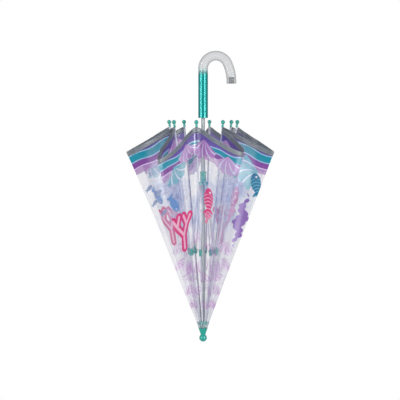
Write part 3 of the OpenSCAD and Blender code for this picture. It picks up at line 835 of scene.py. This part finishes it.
# %% Printed film: clear vinyl, its tints, the bands and then the motifs
def printed_film(name, teal_first=0.0, **motifs):
    material, t, shader = new_material(name, 0.12, IOR=1.5)
    flat = flat_mm(t)
    x, y = t.parts(flat)[:2]
    hem_y = t.math("MULTIPLY_ADD", t.math("ABSOLUTE", x), HEM_RISE, MIDDLE_FLAT / MM)
    from_hem = t.math("SUBTRACT", hem_y, y)
    vinyl_look = t.group(vinyl, Place=object_place(t), Flat=flat)
    # The base colour and cover follow the haze, whose streaks are partly painted wrinkle shade.
    film = Print(t, flat, t.mix(vinyl_look["Haze"], ink(180, 180, 192), ink(150, 150, 188)),
                 t.math("MULTIPLY_ADD", vinyl_look["Haze"], 0.14, 0.15))

    sketched = t.group(sketch, Place=flat)["Ink"]
    fade = t.math("MULTIPLY_ADD", t.step(from_hem, 330, 370), 0.5, 0.35)
    film.over(t.math("MULTIPLY", sketched, fade), ink(186, 128, 192), 0.6)
    pools = t.step(t.noise(at_point(t, flat, 300, 70), 0.018, 1.0), 0.42, 0.62)
    for shore in (t.step(from_hem, 60, 100), t.step(from_hem, 260, 200)):
        pools = t.math("MULTIPLY", pools, shore)
    inner = t.step(t.math("ABSOLUTE", x), 4, 40)
    film.over(t.math("MULTIPLY", pools, inner), ink(126, 142, 200), 0.42)
    film.over(t.step(from_hem, 395, 414), ink(128, 176, 186), 0.40)
    rings = t.group(bubbles, Place=flat)["Ring"]
    belt = t.math("MULTIPLY", t.step(from_hem, 62, 75), t.step(from_hem, 185, 165))
    film.over(t.math("MULTIPLY", rings, belt), ink(196, 224, 238), 0.4)
    top = t.group(bands, From_fold=x, From_hem=from_hem, Teal_first=teal_first)
    film.colour = t.mix(t.step(top["Ink"], 0.05, 0.3), film.colour, top["Colour"])
    film.cover = t.math("MAXIMUM", film.cover, top["Ink"])
    for motif, rows in motifs.items():
        getattr(film, motif)(*rows)

    t.put(shader["Base Color"], film.colour)
    t.put(shader["Roughness"], vinyl_look["Roughness"])
    t.put(shader["Normal"], t.bump(vinyl_look["Height"], 0.35, 0.0006))
    sheen = t.tree.nodes.new("ShaderNodeLayerWeight")
    sheen.inputs["Blend"].default_value = 0.25
    grazing = t.math("MULTIPLY", t.math("POWER", sheen.outputs["Facing"], 3.0), 0.30)
    t.put(shader["Alpha"], t.math("MINIMUM", t.math("ADD", film.cover, grazing), 1.0))
    print(name, "nodes", len(material.node_tree.nodes))
    return material


# %% Four prints, which take turns from gore to gore
FAINT = ((40, 150, 170, 30), (-34, 128, 196, 28), (14, 100, 185, 24), (-22, 196, 160, 26),
         (52, 214, 200, 26), (-9, 66, 178, 20), (8, 160, 200, 22))
faint_shells = tuple((x, y, turn, size, MAUVE_SHELL, 12.0) for x, y, turn, size in FAINT)
reef_print = printed_film(
    "reef_print", faint=faint_shells,
    shells=((34, 388, 200, 42, TEAL_SHELL, 10.0), (84, 412, 176, 40, PINK_SHELL, 13.0),
            (-100, 414, 188, 42, MAUVE_SHELL, 13.0), (-30, 392, 170, 38, PINK_SHELL, 12.0)),
    fishes=((15, 306, 200, 26, SKY, ink(130, 170, 216)),),
    corals=((14, 200, -6, 1.75),))
shell_print = printed_film(
    "shell_print", faint=faint_shells,
    shells=((-30, 402, 184, 42, PINK_SHELL, 12.0), (-98, 412, 186, 44, MAUVE_SHELL, 13.0),
            (92, 414, 172, 38, PINK_SHELL, 13.0), (30, 390, 190, 36, TEAL_SHELL, 10.0)),
    fishes=((-58, 290, 12, 33, MAGENTA, ROSE),),
    corals=((-52, 236, 4, 0.5),))
lagoon_print = printed_film(
    "lagoon_print", teal_first=1.0, faint=faint_shells,
    shells=((-17, 370, 115, 46, TEAL_SHELL, 10.0), (-96, 414, 184, 40, MAUVE_SHELL, 13.0),
            (86, 408, 176, 34, PINK_SHELL, 12.0)),
    fishes=((-13, 345, 28, 30, DEEP_SEA, ink(70, 180, 200)),),
    weeds=((-15, 256, 6, 46, ink(112, 60, 160)),))
SHOAL = ink(126, 150, 190)
calm_print = printed_film(
    "calm_print", teal_first=1.0, faint=faint_shells,
    fishes=((-18, 330, 70, 12, SHOAL, PALE_LINES), (-36, 312, 80, 13, SHOAL, PALE_LINES),
            (-16, 296, 66, 11, SHOAL, PALE_LINES), (-30, 268, 74, 12, SHOAL, PALE_LINES)))
PRINTS = {5: calm_print, 8: lagoon_print, 7: shell_print, 1: shell_print, 3: shell_print}

# %% Hem tape: grey vinyl welded and stitched over the film's edge
hem_tape, t, shader = new_material("hem_tape")
run, across = t.parts(flat_mm(t))[:2]
ridges = t.math("SINE", t.math("MULTIPLY", across, 4.2))
dash = t.step(t.math("SINE", t.math("MULTIPLY", run, 2.1)), -0.2, 0.2)
from_seam = t.math("ABSOLUTE", t.math("SUBTRACT", across, 2.0))
seam = t.math("MULTIPLY", t.step(from_seam, 0.5, 0.3), dash)
soft = t.noise(object_place(t), 70, 3.0)
grey = t.mix(soft, ink(98, 106, 114), ink(142, 148, 155))
grey = t.mix(t.math("MULTIPLY", t.step(ridges, 0.2, 0.9), 0.35), grey, ink(82, 88, 96))
t.put(shader["Base Color"], t.mix(seam, grey, ink(190, 194, 200)))
t.put(shader["Roughness"], t.math("MULTIPLY_ADD", soft, 0.25, 0.2))
height = t.math("MULTIPLY_ADD", seam, 0.8, t.math("MULTIPLY", ridges, 0.3))
t.put(shader["Normal"], t.bump(height, 0.4, 0.0003))

# %% Make the sixteen half gores and their hem tapes
ROWS, COLS = 64, 30
TAPE_WIDE, TAPE_THICK, TAPE_OVER = HEM_TAPE * MM, 0.9 * MM, 0.6 * MM
TAPE_ROWS = 5
up = np.linspace(0, 1, ROWS)
across = np.linspace(0, 1, COLS)
tape_up = 1 - np.linspace(TAPE_WIDE, -TAPE_OVER, TAPE_ROWS) / FLAT_LONG
tape_across = (tape_up - tape_up[0]) * FLAT_LONG
for half in halves:
    points = film_surface(half, up, across)
    flat = flat_place(half, up, length_share(points))
    material = PRINTS.get(half.k, reef_print)
    film = grid_piece("film_" + half.name, points, flat, half.side < 0, material)
    film.visible_shadow = False

    edge = film_surface(half, tape_up, across)
    length = np.linalg.norm(np.diff(edge[-1], axis=0), axis=1).cumsum()
    run = np.concatenate(([0], length))
    tape_flat = np.stack(np.broadcast_arrays(run[None, :], tape_across[:, None]), -1)
    tape = grid_piece("hem_" + half.name, edge, tape_flat, half.side < 0, hem_tape)
    wall = tape.modifiers.new("wall", "SOLIDIFY")
    wall.thickness, wall.offset = TAPE_THICK, 0
    only(tape)
    bpy.ops.object.modifier_apply(modifier="wall")

    away = half.corner - half.origin
    away = away - np.dot(away, half.along) * half.along
    away /= np.linalg.norm(away)
    for piece in (film, tape):
        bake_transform(piece)
    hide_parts(half.name)
print("film pieces", len(halves))

# %% [markdown]
# ## The collar
# At the ferrule the gores are gathered and clamped between the cup and the notch. That gathered
# ring doesn't move with the ribs, so it is a piece of its own that stays with the shaft: a skirt
# with eight flutes, from inside the cup's rim to just over the film's beginning.

# %% The gathered film's look: many layers deep, so it is dull and blue-green, with painted light and shade streaking its folds
gathered_film, t, shader = new_material("gathered_film", 0.25, IOR=1.5)
# Painted light and shade of the gathered folds: the streaks are pale and more see-through, or dark
# blue-green and denser.
streaks = t.noise(t.stretched(flat_mm(t), 0.62, 0.04, 0.001), 1.0, 2.0)
streaks = t.step(streaks, 0.42, 0.60)
t.put(shader["Base Color"], t.mix(streaks, ink(96, 132, 144), ink(176, 206, 208)))
t.put(shader["Alpha"], t.math("MULTIPLY_ADD", streaks, -0.25, 0.65))
t.put(shader["Normal"], t.bump(streaks, 0.3, 0.0004))

# %% A fluted collar of the same film
COLLAR_RINGS, COLLAR_SIDES = 10, 160
COLLAR_TOP = 43.5 * MM
COLLAR_TUCK = 1.4 * MM    # how far it begins inside the cup
VALLEY_R, VALLEY_MORE = 8.2 * MM, 3.0 * MM  # at the cup, and how much wider at the top
CREST_R, CREST_MORE = 9.6 * MM, 4.4 * MM
CREST_SHARP = 1.4
FLAT_R, FLAT_HIGH = 13 * MM, 16 * MM
hinge_x, hinge_y = joints["rib_1_hinge"]["pos_m"][:2]
first_rib = math.atan2(hinge_y, hinge_x)
foot_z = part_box("ferrule")[1].z - COLLAR_TUCK
rise = np.linspace(0, 1, COLLAR_RINGS)
turn = np.linspace(0, 2 * np.pi, COLLAR_SIDES)
z = foot_z + rise * (COLLAR_TOP - foot_z)
flute = (0.5 - 0.5 * np.cos(RIBS * (turn - first_rib))) ** CREST_SHARP
valley = VALLEY_R + rise * VALLEY_MORE
crest = CREST_R + rise * CREST_MORE
radius = valley[:, None] + (crest - valley)[:, None] * flute[None, :]
height = np.broadcast_to(z[:, None], radius.shape)
ring = np.stack((radius * np.cos(turn), radius * np.sin(turn), height), -1)
flat = np.stack(np.broadcast_arrays((turn * FLAT_R)[None, :], z[:, None]), -1)
collar = grid_piece("film_collar", ring, flat, False, gathered_film)
only(collar)
bpy.ops.object.mode_set(mode="EDIT")
bpy.ops.mesh.select_all(action="SELECT")
bpy.ops.mesh.remove_doubles(threshold=MERGE_UNDER)
bpy.ops.object.mode_set(mode="OBJECT")
collar.visible_shadow = False
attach(collar, "root")

# %% [markdown]
# ## Finishes on the frame's own pieces
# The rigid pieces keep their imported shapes, which are right, and only get their finishes.

# %% Give each node its material
finishes = {"handle_plug": plug_plastic, "shaft": steel, "ferrule": teal_plastic,
            "top_notch": teal_plastic, "notch_wire": wire_steel, "canopy_washer": washer_plastic,
            "catch_rivets": wire_steel, "stop_pin": wire_steel, "lower_catch": steel,
            "upper_catch": steel, "runner": teal_plastic}
for kind, material in (("rib", enamel), ("tip", teal_plastic), ("clip", teal_plastic),
                       ("stretcher", enamel)):
    for k in range(1, RIBS + 1):
        finishes[f"{kind}_{k}"] = material
for name, material in finishes.items():
    node = nodes[name]
    node.data.materials.clear()
    node.data.materials.append(material)
print("nodes with a finish", len(finishes))
